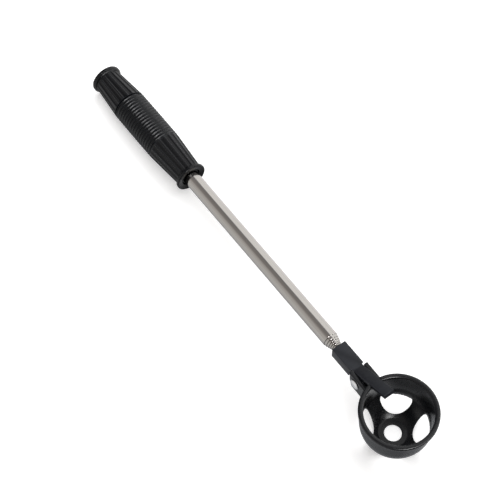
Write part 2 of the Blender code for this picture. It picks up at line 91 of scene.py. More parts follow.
# Outline of each flange from its outer face inwards: distance from the face, inset from the rim, rounding.
REAR_FLANGE = ((0.0, 0.7, 0.4), (0.5, 0.0, 0.8), (2.3, 0.0, 0.25), (2.45, 0.25, 0.1), (3.3, 0.35, 0.9),
               (FLANGE_THICKNESS, 1.2, 0.6))
FRONT_FLANGE = ((0.0, 0.6, 0.4), (0.35, 0.0, 0.5), (2.3, 0.0, 0.5), (FRONT_FLANGE_THICKNESS, 0.9, 0.4))
ROOT_GAP, ROOT_LIFT = 0.1, 0.05
BARREL_INSET, BARREL_STEPS, BAND_INSET = 0.5, 30, 0.1
GRIP_END_RADIUS, BAND_END_RADIUS, BAND_SWELL = 10.45, 13.0, 0.1
RING_START, RING_PITCH, RINGS, RING_DEPTH = 32.4, 2.7, 17, 0.80
RING_END = RING_START + RINGS * RING_PITCH
RING_STEPS, CREST_POWER, CREST_INSET = 12, 2.8, 0.02
FLUTES, FLUTE_DEPTH, FLUTE_FADE, FADE_POWER = 18, 0.65, 1.6, 0.6
FLUTE_STEPS = 16
# The flat of a rib and the flank of a flute, as shares of the flutes' pitch.
RIB_FLAT, FLUTE_FLANK = 0.07, 0.24
GRIP_BORE, MOUTH_RADIUS, MOUTH_DEPTH = 7.0, 7.4, 3.0
MOUTH_BEVEL_DEPTH, MOUTH_BEVEL_WIDTH = 0.5, 0.3
SLEEVE_CLEARANCE = 0.15
PLUG_SEAT_RADIUS, PLUG_SEAT_DEPTH = 9.1, 3.1
# The plug's face, a dimple inside a groove: distance from the butt, radius, rounding.
PLUG_FACE = ((0.55, 0, 0), (0.55, 1.0, 0.2), (0.25, 1.3, 0.2), (0.3, 5.0, 0.3), (0.75, 5.3, 0.2),
             (0.75, 6.0, 0.2), (0.35, 6.3, 0.3))
PLUG_SHOULDER, PLUG_RIM_START, PLUG_RIM_BEVEL = 0.6, 1.2, 0.5
PLUG_STEM_RADIUS, PLUG_STEM_BEVEL = 5.2, 0.8

# Tubes.
TUBES = 7
OUTER_TUBE_RADIUS, TUBE_STEP, TUBE_WALL = 6.0, 0.5, 0.25
NECK_LENGTH, NECK_DROP, NECK_GAP, THROAT_SHARE = 2.5, 0.38, 0.08, 0.85
SHOULDER_LENGTH, MOUTH_EDGE, THROAT_EDGE = 0.34, 0.04, 0.01
REAR_FLANGE_HEIGHT, REAR_FLANGE_LENGTH = 0.15, 1.0
COLLAR_CLEARANCE, COLLAR_SLIT_DEG = 0.02, 30.0
COLLAR_WAIST_DEPTH, COLLAR_RAMP = 0.06, 0.6
TUBE_SEGMENTS = 96

# Head block.
BLOCK_WIDTH, BLOCK_DEPTH, BLADE_WIDTH = 11.2, 9.6, 8.2
NOSE_RADIUS, NOSE_END_DEG, NOSE_STEPS = 6.2, 62.0, 24
TONGUE_ROOT, TONGUE_TIP, TONGUE_RISE_DEG, TONGUE_THICKNESS = 308.2, 339.0, 23.5, 2.9
SHOULDER, RELIEF_RADIUS, RELIEF_STEPS = 7.5, 8.8, 16
BLOCK_BORE_RADIUS, BLOCK_BORE_DEPTH = 3.15, 10.0
STUD_BORE_RADIUS, STUD_BORE_DEPTH = 2.3, 7.0
EDGE_ROUNDING, ROUNDED_FROM_DEG = 0.28, 35.0
BORE_SEGMENTS, BORE_OVERRUN = 48, 1.0

# Cup, from its own floor and axis, and its ears, from the hinge.
WALL_RADIUS, WALL_THICKNESS = 25.2, 1.4
LIP_HEIGHT, LIP_OUTER_ROUNDING, LIP_INNER_ROUNDING = 3.4, 1.5, 1.7
# The lip's lower edge: its height above the wall's top, its inset, and the height where the inset ends.
LIP_UNDERCUT, LIP_UNDERCUT_INSET, LIP_FULL_FROM = 0.3, 0.2, 0.9
BOWL_STEPS, WINDOW_STEPS = 24, 28
WINDOW_CUT_LOW, WINDOW_CUT_HIGH = -5.0, 20.0
FOOT_RADIUS, FLOOR_THICKNESS, CENTRE_HOLE_RADIUS = 10.0, 1.6, 6.05
WINDOW_OFFSET, WINDOW_REACH, WINDOW_LIMIT = 27.0, 13.7, 23.2
WINDOW_TIP_ROUNDING, WINDOW_TURN_DEG = 2.6, 3.5
EAR_INNER, EAR_OUTER, EAR_ROUNDING = 4.5, 7.5, 0.5
EAR_OUTLINE = ((-6.4, 6.1), (-5.6, -1.0), (-2.8, -8.0), (13.0, -8.0), (12.6, -2.0), (12.6, 6.1))
WEB_OUTLINE = ((5.5, -7.6), (12.2, -7.6), (12.2, -6.2), (5.5, -6.2))
WEB_OVERLAP = 1.0
NOTCH_FLOOR, NOTCH_END = 9.9, 13.6
CUP_SEGMENTS = 144
CUP_VOXEL = 0.30
CUP_SMOOTHING, CUP_SMOOTHING_ROUNDS = 0.5, 6

# Rivet.
RIVET_RADIUS, RIVET_BORE = 1.8, 2.1
RIVET_HEAD_RADIUS, RIVET_HEAD_HEIGHT, RIVET_HEAD_EDGE = 4.0, 1.4, 0.2
DOME_STEPS, DOME_POWER, RIVET_SEGMENTS = 13, 2.2, 64
TAIL_RADIUS, TAIL_HEIGHT = 2.6, 0.7
# The dimple in the tail's end: depth, radius, rounding.
TAIL_DIMPLE = ((0.1, 1.5, 0.3), (0.35, 0.9, 0.2), (0.35, 0, 0))
TAIL_POCKET_RADIUS, TAIL_POCKET_DEPTH = 3.6, 1.7
WASHER_RADIUS, WASHER_THICKNESS = 3.2, 0.4
FACE_GAP = 0.3

# ------------------------------------------------------------------ frames

JOINTS = {joint["name"]: joint for joint in frame["joints"]}
SHAFT = Vector(JOINTS["head_slide"]["axis"])
HINGE_POINT = Vector(JOINTS["cup_hinge"]["pos_m"])
TILT = Matrix.Rotation(-math.atan2(SHAFT.z, SHAFT.x), 4, "Y")
TOOL_FRAME = (Matrix.Translation(HINGE_POINT) @ TILT
              @ Matrix.Translation(Vector((-HINGE_ALONG, 0, -HINGE_UP)) * MM))
HINGE_FRAME = Matrix.Translation(HINGE_POINT)


def tool_span(node):
    """Lowest and highest corner of a CAD node in the tool's own frame, in millimetres."""
    back = TOOL_FRAME.inverted()
    corners = [back @ vertex.co / MM for vertex in frame["nodes"][node].data.vertices]
    low = Vector([min(corner[axis] for corner in corners) for axis in range(3)])
    high = Vector([max(corner[axis] for corner in corners) for axis in range(3)])
    return low, high


GRIP_LENGTH = tool_span("grip")[1].x
FLUTED_END = GRIP_LENGTH - FRONT_FLANGE_THICKNESS
CUP_LOW, CUP_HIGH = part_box("cup")
LIP_RADIUS = CUP_HIGH.y / MM
CUP_HEIGHT = (CUP_HIGH.z - CUP_LOW.z) / MM
CUP_OFFSET = (CUP_HIGH.x - HINGE_POINT.x) / MM - LIP_RADIUS
CUP_DROP = (HINGE_POINT.z - CUP_LOW.z) / MM


# ------------------------------------------------------------------ shader nodes

class Shader:
    """A material's node tree, with short calls for the few nodes that these materials use."""

    def __init__(self, name):
        self.material = bpy.data.materials.new(name)
        self.material.use_nodes = True
        self.tree = self.material.node_tree
        self.surface = self.tree.nodes["Principled BSDF"]
        self.place = self.add("ShaderNodeTexCoord").outputs["Object"]

    def add(self, kind, **settings):
        node = self.tree.nodes.new(kind)
        for key, value in settings.items():
            setattr(node, key, value)
        return node

    def link(self, source, target):
        self.tree.links.new(source, target)

    def stretched(self, scale):
        mapping = self.add("ShaderNodeMapping")
        mapping.inputs["Scale"].default_value = scale
        self.link(self.place, mapping.inputs["Vector"])
        return mapping.outputs["Vector"]

    def noise(self, scale, detail=3.0, roughness=0.55, stretch=(1, 1, 1)):
        node = self.add("ShaderNodeTexNoise")
        node.inputs["Scale"].default_value = scale
        node.inputs["Detail"].default_value = detail
        node.inputs["Roughness"].default_value = roughness
        self.link(self.stretched(stretch), node.inputs["Vector"])
        return node.outputs["Fac"]

    def ramp(self, source, low, high, start=0.3, end=0.7):
        """Map a value between start and end onto the numbers from low to high."""
        node = self.add("ShaderNodeMapRange")
        node.inputs["From Min"].default_value = start
        node.inputs["From Max"].default_value = end
        node.inputs["To Min"].default_value = low
        node.inputs["To Max"].default_value = high
        self.link(source, node.inputs["Value"])
        return node.outputs["Result"]

    def mix(self, factor, first, second):
        """Mix two colours, each a colour or another mix's output."""
        node = self.add("ShaderNodeMix", data_type="RGBA")
        self.link(factor, node.inputs["Factor"])
        for value, slot in ((first, node.inputs[6]), (second, node.inputs[7])):
            if isinstance(value, tuple):
                slot.default_value = (*value, 1.0)
            else:
                self.link(value, slot)
        return node.outputs[2]

    def bump(self, height, strength, distance, below=None):
        node = self.add("ShaderNodeBump")
        node.inputs["Strength"].default_value = strength
        node.inputs["Distance"].default_value = distance
        self.link(height, node.inputs["Height"])
        if below:
            self.link(below, node.inputs["Normal"])
        return node.outputs["Normal"]

    def set(self, socket, value):
        if isinstance(value, bpy.types.NodeSocket):
            self.link(value, self.surface.inputs[socket])
        else:
            self.surface.inputs[socket].default_value = value


# Scales of the materials' noise, in features per metre; the hair lines are long along X.
MOTTLE_SCALE, SCUFF_SCALE, PORE_SCALE, WAVE_SCALE = 260.0, 900.0, 2600.0, 120.0
SMUDGE_SCALE, SKIN_SCALE = 70.0, 1500.0
HAIR_LINE_SCALES = (6, 1400, 1400)
# The pointiness of an edge at which the lighter crest colour starts, and at which it is full; a flat face has
# 0.5. That colour is partly wear and partly a painted highlight.
CREST_WEAR_HIGHLIGHT_START, CREST_WEAR_HIGHLIGHT_FULL = 0.51, 0.58


def moulded(name, dark, light, crest_wear_and_highlight_colour, gloss, grain, specular):
    """Moulded plastic or rubber: mottled colour, fine grain, and crests painted lighter, partly as wear and
    partly as a painted highlight.
    """
    shader = Shader(name)
    mottle = shader.noise(MOTTLE_SCALE, detail=5.0)
    edge = shader.add("ShaderNodeNewGeometry").outputs["Pointiness"]
    # Crests and sharp edges get a lighter colour: partly wear, partly a painted highlight.
    crest_wear_and_highlight = shader.ramp(edge, 0.0, 1.0, start=CREST_WEAR_HIGHLIGHT_START, end=CREST_WEAR_HIGHLIGHT_FULL)
    colour = shader.mix(shader.ramp(mottle, 0.0, 1.0), dark, light)
    shader.set("Base Color", shader.mix(crest_wear_and_highlight, colour, crest_wear_and_highlight_colour))
    scuffs = shader.noise(SCUFF_SCALE, detail=6.0, roughness=0.7)
    shader.set("Roughness", shader.ramp(scuffs, gloss - 0.05, gloss + 0.07))
    shader.set("Specular IOR Level", specular)
    pores = shader.noise(PORE_SCALE, detail=2.0)
    waves = shader.noise(WAVE_SCALE, detail=2.0)
    coarse = shader.bump(waves, 0.10, 0.0004)
    shader.set("Normal", shader.bump(pores, grain, 0.00012, below=coarse))
    return shader.material


def drawn_steel(name, colour, shade, gloss):
    """Polished drawn tube: hair lines along the axis, faint smudges across it."""
    shader = Shader(name)
    lines = shader.noise(1.0, detail=4.0, roughness=0.6, stretch=HAIR_LINE_SCALES)
    smudges = shader.noise(SMUDGE_SCALE, detail=3.0)
    shader.set("Base Color", shader.mix(shader.ramp(lines, 0.0, 1.0), colour, shade))
    shader.set("Metallic", 1.0)
    shader.set("Roughness", shader.ramp(smudges, gloss - 0.03, gloss + 0.05))
    shader.set("Normal", shader.bump(lines, 0.02, 0.00003))
    return shader.material


def plated(name, colour, shade, gloss):
    """Turned or pressed metal with a fine irregular skin."""
    shader = Shader(name)
    skin = shader.noise(SKIN_SCALE, detail=4.0)
    shader.set("Base Color", shader.mix(shader.ramp(skin, 0.0, 1.0), colour, shade))
    shader.set("Metallic", 1.0)
    shader.set("Roughness", shader.ramp(skin, gloss - 0.05, gloss + 0.08))
    shader.set("Normal", shader.bump(skin, 0.12, 0.00005))
    return shader.material


# The third colour of each is the lighter colour of crests and edges: partly wear, partly a painted highlight.
RUBBER = moulded("grip_rubber", (0.0024, 0.0028, 0.0036), (0.0042, 0.0047, 0.0060),
                 (0.020, 0.022, 0.026), gloss=0.24, grain=0.05, specular=0.26)
BLOCK_PLASTIC = moulded("block_plastic", (0.0048, 0.0055, 0.0080), (0.0090, 0.0100, 0.0135),
                        (0.020, 0.022, 0.027), gloss=0.36, grain=0.35, specular=0.25)
CUP_PLASTIC = moulded("cup_plastic", (0.0026, 0.0030, 0.0042), (0.0046, 0.0052, 0.0068),
                      (0.016, 0.018, 0.022), gloss=0.26, grain=0.02, specular=0.38)
TUBE_STEEL = drawn_steel("tube_steel", (0.49, 0.47, 0.445), (0.44, 0.42, 0.40), 0.12)
BRIGHT_STEEL = plated("bright_steel", (0.86, 0.86, 0.87), (0.78, 0.78, 0.79), 0.30)
BRASS = plated("brass", (0.72, 0.53, 0.25), (0.60, 0.42, 0.17), 0.32)


# ------------------------------------------------------------------ mesh helpers

def bend(start, corner, end, shares):
    """Points on the curve that leaves start and reaches end, both aimed at the corner."""
    points = []
    for share in shares:
        point = start * (1 - share) ** 2 + corner * 2 * share * (1 - share) + end * share ** 2
        points.append((point.x, point.y))
    return points


def filleted(corners, steps=6):
    """A closed loop of (x, y, rounding) corners as points; a rounding of 0 leaves the corner sharp."""
    points = []
    for index, (x, y, rounding) in enumerate(corners):
        corner = Vector((x, y))
        before = Vector(corners[index - 1][:2]) - corner
        after = Vector(corners[(index + 1) % len(corners)][:2]) - corner
        if rounding == 0 or min(before.length, after.length) < SAME_POINT:
            points.append((x, y))
            continue
        start = corner + before.normalized() * min(rounding, before.length * FILLET_SHARE)
        end = corner + after.normalized() * min(rounding, after.length * FILLET_SHARE)
        points += bend(start, corner, end, [step / steps for step in range(steps + 1)])
    return points


def rounded_tip(start, corner, end, steps=8):
    """Points between start and end that bend round the corner."""
    return bend(Vector(start), Vector(corner), Vector(end), [step / steps for step in range(1, steps)])


def arc(centre, radius, start_deg, end_deg, steps):
    points = []
    for index in range(steps + 1):
        angle = math.radians(start_deg + (end_deg - start_deg) * index / steps)
        points.append((centre[0] + radius * math.cos(angle), centre[1] + radius * math.sin(angle)))
    return points


def turned(profile, segments, axis="X", sweep=FULL_TURN, radius_at=None):
    """Spin a closed loop of (along, radius) points, in millimetres, about an axis. A point of radius 0 is a
    single vertex. radius_at(along, radius, turn) may change a radius with the share of a turn."""
    mesh = bmesh.new()
    full = sweep == FULL_TURN
    steps = segments if full else segments + 1

    def point(along, radius, step):
        if radius_at:
            radius = radius_at(along, radius, step / segments)
        angle = sweep * step / segments
        across, up = radius * math.sin(angle), -radius * math.cos(angle)
        placed = {"X": (along, across, up), "Y": (across, along, up), "Z": (across, up, along)}[axis]
        return Vector(placed) * MM

    rings = []
    for along, radius in profile:
        count = 1 if radius == 0 else steps
        rings.append([mesh.verts.new(point(along, radius, step)) for step in range(count)])
    for near, far in zip(rings, rings[1:] + rings[:1]):
        for step in range(segments):
            after = (step + 1) % steps
            corners = []
            for vertex in (near[step % len(near)], near[after % len(near)],
                           far[after % len(far)], far[step % len(far)]):
                if vertex not in corners:
                    corners.append(vertex)
            if len(corners) > 2:
                mesh.faces.new(corners)
    if not full:
        mesh.faces.new([ring[0] for ring in rings])
        mesh.faces.new([ring[-1] for ring in rings])
    return mesh


def extruded(outline, low, high, axis="Y"):
    """A prism of the outline's (x, other) points, in millimetres, pushed along the axis from low to high."""
    mesh = bmesh.new()

    def point(first, second, along):
        return Vector((first, along, second) if axis == "Y" else (first, second, along)) * MM

    floor = [mesh.verts.new(point(*corner, low)) for corner in outline]
    roof = [mesh.verts.new(point(*corner, high)) for corner in outline]
    mesh.faces.new(floor)
    mesh.faces.new(roof)
    for index in range(len(outline)):
        after = (index + 1) % len(outline)
        mesh.faces.new((floor[index], floor[after], roof[after], roof[index]))
    return mesh


def new_object(name, mesh_data, matrix):
    bmesh.ops.recalc_face_normals(mesh_data, faces=mesh_data.faces)
    mesh = bpy.data.meshes.new(name)
    mesh_data.to_mesh(mesh)
    mesh_data.free()
    item = bpy.data.objects.new(name, mesh)
    bpy.context.scene.collection.objects.link(item)
    item.matrix_world = matrix
    return item


def modify(item, kind, **settings):
    modifier = item.modifiers.new(kind.lower(), kind)
    for key, value in settings.items():
        setattr(modifier, key, value)


def combine(item, tool_mesh, operation, matrix):
    """Add a boolean with a tool that settle() deletes afterwards."""
    tool = new_object(f"tool_{len(bpy.data.objects)}", tool_mesh, matrix)
    tool.hide_render = True
    modify(item, "BOOLEAN", object=tool, operation=operation, solver="EXACT")
    item["tools"] = [*item.get("tools", []), tool.name]


def settle(item):
    """Apply all modifiers to the mesh, and delete the tools they used."""
    bpy.context.view_layer.update()
    evaluated = item.evaluated_get(bpy.context.evaluated_depsgraph_get())
    mesh = bpy.data.meshes.new_from_object(evaluated)
    item.modifiers.clear()
    item.data = mesh
    for name in item.get("tools", []):
        bpy.data.objects.remove(bpy.data.objects[name])
    if "tools" in item:
        del item["tools"]


def finished(item, material, body, node, sharp_deg=40.0):
    """Shade, paint and place a piece that stands for a CAD node."""
    item.data.materials.clear()
    item.data.materials.append(material)
    item.data.shade_smooth()
    item.data.set_sharp_from_angle(angle=math.radians(sharp_deg))
    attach(item, body)
    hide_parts(node)


# ------------------------------------------------------------------ grip

def barrel_radius(along):
    """Radius of the grip's body: a cone from each flange to the ring band, which swells slightly."""
    if RING_START <= along <= RING_END:
        share = (along - RING_START) / (RING_END - RING_START)
        return BAND_END_RADIUS + BAND_SWELL * math.sin(math.pi * share)
    if along < RING_START:
        share = (along - FLANGE_THICKNESS) / (RING_START - FLANGE_THICKNESS)
    else:
        share = (FLUTED_END - along) / (FLUTED_END - RING_END)
    return GRIP_END_RADIUS + (BAND_END_RADIUS - GRIP_END_RADIUS) * share


def flute_depth(along):
    """Depth of the flutes, which run out softly before a flange or a ring."""
    for start, end in ((FLANGE_THICKNESS, RING_START), (RING_END, FLUTED_END)):
        if start < along < end:
            inside = min(along - start, end - along) / FLUTE_FADE
            return FLUTE_DEPTH * min(inside, 1.0) ** FADE_POWER
    return 0.0


def fluted(along, radius, turn):
    """Broad flutes between narrow ribs."""
    if abs(radius - barrel_radius(along)) > SAME_POINT:
        return radius
    off_rib = abs((turn * FLUTES + 0.5) % 1.0 - 0.5)
    share = min(max((off_rib - RIB_FLAT) / FLUTE_FLANK, 0.0), 1.0)
    return radius - flute_depth(along) * share * share * (3 - 2 * share)


def barrel(start, end):
    """Corners along the grip's body."""
    corners = []
    for step in range(BARREL_STEPS + 1):
        along = start + (end - start) * step / BARREL_STEPS
        corners.append((along, barrel_radius(along), 0))
    return corners


def build_grip():
    front = GRIP_LENGTH
    root = GRIP_END_RADIUS + ROOT_LIFT
    corners = [(0.0, PLUG_SEAT_RADIUS, 0.25)]
    corners += [(depth, FLANGE_RADIUS - inset, rounding) for depth, inset, rounding in REAR_FLANGE]
    corners.append((FLANGE_THICKNESS + ROOT_GAP, root, 0.5))
    corners += barrel(FLANGE_THICKNESS + BARREL_INSET, RING_START - BAND_INSET)
    for step in range(RINGS * RING_STEPS + 1):
        along = RING_START + step * RING_PITCH / RING_STEPS
        crest = math.sin(math.pi * step / RING_STEPS) ** 2
        depth = RING_DEPTH * (1 - crest ** CREST_POWER) + CREST_INSET
        corners.append((along, barrel_radius(along) - depth, 0))
    corners += barrel(RING_END + BAND_INSET, FLUTED_END - BARREL_INSET)
    corners.append((FLUTED_END - ROOT_GAP, root, 0.4))
    for depth, inset, rounding in reversed(FRONT_FLANGE):
        corners.append((front - depth, FLANGE_RADIUS - inset, rounding))
    corners += [(front - MOUTH_BEVEL_DEPTH, MOUTH_RADIUS + MOUTH_BEVEL_WIDTH, 0.35),
                (front - MOUTH_DEPTH, MOUTH_RADIUS, 0.3), (front - MOUTH_DEPTH, GRIP_BORE, 0.1),
                (PLUG_SEAT_DEPTH, GRIP_BORE, 0), (PLUG_SEAT_DEPTH, PLUG_SEAT_RADIUS, 0)]
    mesh = turned(filleted(corners), FLUTES * FLUTE_STEPS, radius_at=fluted)
    finished(new_object("grip_fine", mesh, TOOL_FRAME), RUBBER, "handle", "grip", 60.0)


def build_grip_sleeve():
    low, high = tool_span("grip_sleeve")
    inner = OUTER_TUBE_RADIUS + SLEEVE_CLEARANCE
    corners = [(low.x, inner, 0), (high.x, inner, 0.1), (high.x, high.y, 0.15), (low.x, high.y, 0)]
    mesh = turned(filleted(corners), TUBE_SEGMENTS)
    item = new_object("grip_sleeve_fine", mesh, TOOL_FRAME)
    finished(item, CUP_PLASTIC, "handle", "grip_sleeve")


def build_butt_plug():
    """Cap with a rounded edge, a turned groove and a dimple in its middle, on a stem."""
    high = tool_span("butt_plug")[1]
    stem_end, rim = high.x, high.y
    back = PLUG_SEAT_DEPTH - FACE_GAP
    corners = [*PLUG_FACE, (PLUG_SHOULDER, rim - PLUG_RIM_BEVEL, 0.4), (PLUG_RIM_START, rim, 0.4),
               (back, rim, 0.1), (back, PLUG_STEM_RADIUS, 0.2),
               (stem_end - PLUG_STEM_BEVEL, PLUG_STEM_RADIUS, 0.3),
               (stem_end, PLUG_STEM_RADIUS - PLUG_STEM_BEVEL, 0.3), (stem_end, 0, 0)]
    mesh = turned(filleted(corners), TUBE_SEGMENTS)
    item = new_object("butt_plug_fine", mesh, TOOL_FRAME)
    finished(item, BLOCK_PLASTIC, "handle", "butt_plug")


# ------------------------------------------------------------------ tubes and collars

def body_of_tube(section):
    if section == 1:
        return "handle"
    return "head" if section == TUBES else f"section_{section}"


def tube_radius(section):
    return OUTER_TUBE_RADIUS - (section - 1) * TUBE_STEP


def build_tube(section):
    """Drawn tube with a rolled-in mouth, and a small rear flange on every sliding one."""
    name = "outer_tube" if section == 1 else f"tube_{section}"
    low, high = tool_span(name)
    radius = tube_radius(section)
    inner = radius - TUBE_WALL
    front = high.x
    if section == TUBES:
        mouth = [(front, radius, 0.08), (front, inner, 0.08)]
    else:
        throat = radius - TUBE_STEP + NECK_GAP
        lip = radius - NECK_DROP
        mouth = [(front - SHOULDER_LENGTH, radius, 0.14), (front - MOUTH_EDGE, lip, 0.05),
                 (front, throat + THROAT_EDGE, 0.03), (front - THROAT_SHARE * NECK_LENGTH, throat, 0.1),
                 (front - NECK_LENGTH, inner, 0.1)]
    if section == 1:
        rear = [(low.x, inner, 0.05), (low.x, radius, 0.1)]
    else:
        seat = low.x + REAR_FLANGE_LENGTH
        flange = radius + REAR_FLANGE_HEIGHT
        rear = [(low.x, inner, 0.05), (low.x, flange, 0.08), (seat, flange, 0.05), (seat, radius, 0)]
    mesh = turned(filleted(rear + mouth), TUBE_SEGMENTS)
    item = new_object(f"{name}_fine", mesh, TOOL_FRAME)
    finished(item, TUBE_STEEL, body_of_tube(section), name)


def build_collar(section):
    """Split sleeve with a shallow waist between its two gripping bands."""
    name = f"friction_collar_{section}"
    low, high = tool_span(name)
    inner = tube_radius(section) + COLLAR_CLEARANCE
    outer = tube_radius(section - 1) - TUBE_WALL - COLLAR_CLEARANCE
    waist = outer - COLLAR_WAIST_DEPTH
    third = (high.x - low.x) / 3
    corners = [(low.x, inner, 0.03), (low.x, outer, 0.05), (low.x + third, outer, 0.3),
               (low.x + third + COLLAR_RAMP, waist, 0.3), (high.x - third - COLLAR_RAMP, waist, 0.3),
               (high.x - third, outer, 0.3), (high.x, outer, 0.05), (high.x, inner, 0.03)]
    sweep = FULL_TURN * (1 - COLLAR_SLIT_DEG / 360)
    mesh = turned(filleted(corners, 3), TUBE_SEGMENTS, sweep=sweep)
    finished(new_object(f"{name}_fine", mesh, TOOL_FRAME), BRASS, body_of_tube(section), name)


# ------------------------------------------------------------------ head block

def head_outline(rear):
    """Side view of block, blade and guard tongue."""
    half_depth = BLOCK_DEPTH / 2
    rise = math.radians(TONGUE_RISE_DEG)
    along = Vector((math.cos(rise), math.sin(rise)))
    normal = Vector((-along.y, along.x))
    root = Vector((TONGUE_ROOT, half_depth))
    tip = root + along * (TONGUE_TIP - TONGUE_ROOT) / along.x
    below_tip = tip - normal * TONGUE_THICKNESS
    nose_start = -math.degrees(math.asin((HINGE_UP + half_depth) / NOSE_RADIUS))
    nose = arc((HINGE_ALONG, HINGE_UP), NOSE_RADIUS, nose_start, NOSE_END_DEG, NOSE_STEPS)
    below_root = below_tip + along * (Vector(nose[-1]) - below_tip).dot(along)
    return ([(rear, -half_depth)] + nose
            + [tuple(below_root), tuple(below_tip), tuple(tip), tuple(root), (rear, half_depth)])


def side_cut():
    """All in front of the shoulder, with the relief that the ears' lower corners swing through."""
    rear = HINGE_ALONG - SHOULDER
    far = TONGUE_TIP + BLOCK_WIDTH
    reach = 3 * BLOCK_DEPTH
    half_angle = math.degrees(math.acos(SHOULDER / RELIEF_RADIUS))
    relief = arc((HINGE_ALONG, HINGE_UP), RELIEF_RADIUS, 180 - half_angle, 180, RELIEF_STEPS)
    return [(rear, reach)] + relief + [(HINGE_ALONG - RELIEF_RADIUS, -reach), (far, -reach), (far, reach)]


def build_head_block():
    rear = tool_span("head_block")[0].x
    half_width = BLOCK_WIDTH / 2
    block = new_object("head_block_fine", extruded(head_outline(rear), -half_width, half_width), TOOL_FRAME)
    for low, high in ((BLADE_WIDTH / 2, BLOCK_WIDTH), (-BLOCK_WIDTH, -BLADE_WIDTH / 2)):
        combine(block, extruded(side_cut(), low, high), "DIFFERENCE", TOOL_FRAME)
    bore_end = rear + BLOCK_BORE_DEPTH
    stud_end = bore_end + STUD_BORE_DEPTH
    start = rear - BORE_OVERRUN
    bore = [(start, 0), (start, BLOCK_BORE_RADIUS), (bore_end, BLOCK_BORE_RADIUS),
            (bore_end, STUD_BORE_RADIUS), (stud_end, STUD_BORE_RADIUS), (stud_end, 0)]
    combine(block, turned(bore, BORE_SEGMENTS), "DIFFERENCE", TOOL_FRAME)
    pin = [(-BLOCK_WIDTH, 0), (-BLOCK_WIDTH, RIVET_BORE), (BLOCK_WIDTH, RIVET_BORE), (BLOCK_WIDTH, 0)]
    combine(block, turned(pin, BORE_SEGMENTS, axis="Y"), "DIFFERENCE", HINGE_FRAME)
    settle(block)
    modify(block, "BEVEL", width=EDGE_ROUNDING * MM, segments=3, limit_method="ANGLE",
           angle_limit=math.radians(ROUNDED_FROM_DEG))
    settle(block)
    finished(block, BLOCK_PLASTIC, "head", "head_block", 30.0)


def build_head_stud():
    low, high = tool_span("head_stud")
    shoulder = tool_span("tube_7")[1].x
    tip_radius = STUD_BORE_RADIUS - FACE_GAP
    corners = [(low.x, 0, 0), (low.x, high.y, 0.4), (shoulder, high.y, 0.1), (shoulder, tip_radius, 0.1),
               (high.x, tip_radius, 0.4), (high.x, 0, 0)]
    item = new_object("head_stud_fine", turned(filleted(corners), BORE_SEGMENTS), TOOL_FRAME)
    finished(item, BRIGHT_STEEL, "head", "head_stud")


# ------------------------------------------------------------------ cup

def cup_profile():
    """Half section of the cup about its axis: foot, bowl, wall, rolled lip, and back down inside."""
    bowl_centre = math.sqrt(WALL_RADIUS ** 2 - FOOT_RADIUS ** 2)
    inner = WALL_RADIUS - WALL_THICKNESS
    foot_deg = -math.degrees(math.acos(FOOT_RADIUS / WALL_RADIUS))
    floor_deg = -math.degrees(math.asin((bowl_centre - FLOOR_THICKNESS) / inner))
    under_lip = CUP_HEIGHT - LIP_HEIGHT
    corners = [(0.0, CENTRE_HOLE_RADIUS, 0.3)]
    outside = arc((0, bowl_centre), WALL_RADIUS, foot_deg, 0, BOWL_STEPS)
    inside = arc((0, bowl_centre), inner, 0, floor_deg, BOWL_STEPS)
    corners += [(height, radius, 0) for radius, height in outside]
    corners += [(under_lip, WALL_RADIUS, 0.4),
                (under_lip + LIP_UNDERCUT, LIP_RADIUS - LIP_UNDERCUT_INSET, 0.4),
                (under_lip + LIP_FULL_FROM, LIP_RADIUS, 0.5), (CUP_HEIGHT, LIP_RADIUS, LIP_OUTER_ROUNDING),
                (CUP_HEIGHT, inner, LIP_INNER_ROUNDING)]
    corners += [(height, radius, 0) for radius, height in inside]
    corners.append((FLOOR_THICKNESS, CENTRE_HOLE_RADIUS, 0.4))
    return filleted(corners)


def window_outline():
    """A lens with rounded tips: the cup's own circle outside, an arc that bulges towards the centre hole."""
    meet_x = (WINDOW_OFFSET ** 2 + WINDOW_LIMIT ** 2 - WINDOW_REACH ** 2) / (2 * WINDOW_OFFSET)
    meet_y = math.sqrt(WINDOW_LIMIT ** 2 - meet_x ** 2)
    outer_deg = math.degrees(math.atan2(meet_y, meet_x) - WINDOW_TIP_ROUNDING / WINDOW_LIMIT)
    inner_deg = math.degrees(math.atan2(meet_y, meet_x - WINDOW_OFFSET) + WINDOW_TIP_ROUNDING / WINDOW_REACH)
    outside = arc((0, 0), WINDOW_LIMIT, -outer_deg, outer_deg, WINDOW_STEPS)
    inside = arc((WINDOW_OFFSET, 0), WINDOW_REACH, inner_deg, 360 - inner_deg, WINDOW_STEPS)
    return (outside + rounded_tip(outside[-1], (meet_x, meet_y), inside[0])
            + inside + rounded_tip(inside[-1], (meet_x, -meet_y), outside[0]))


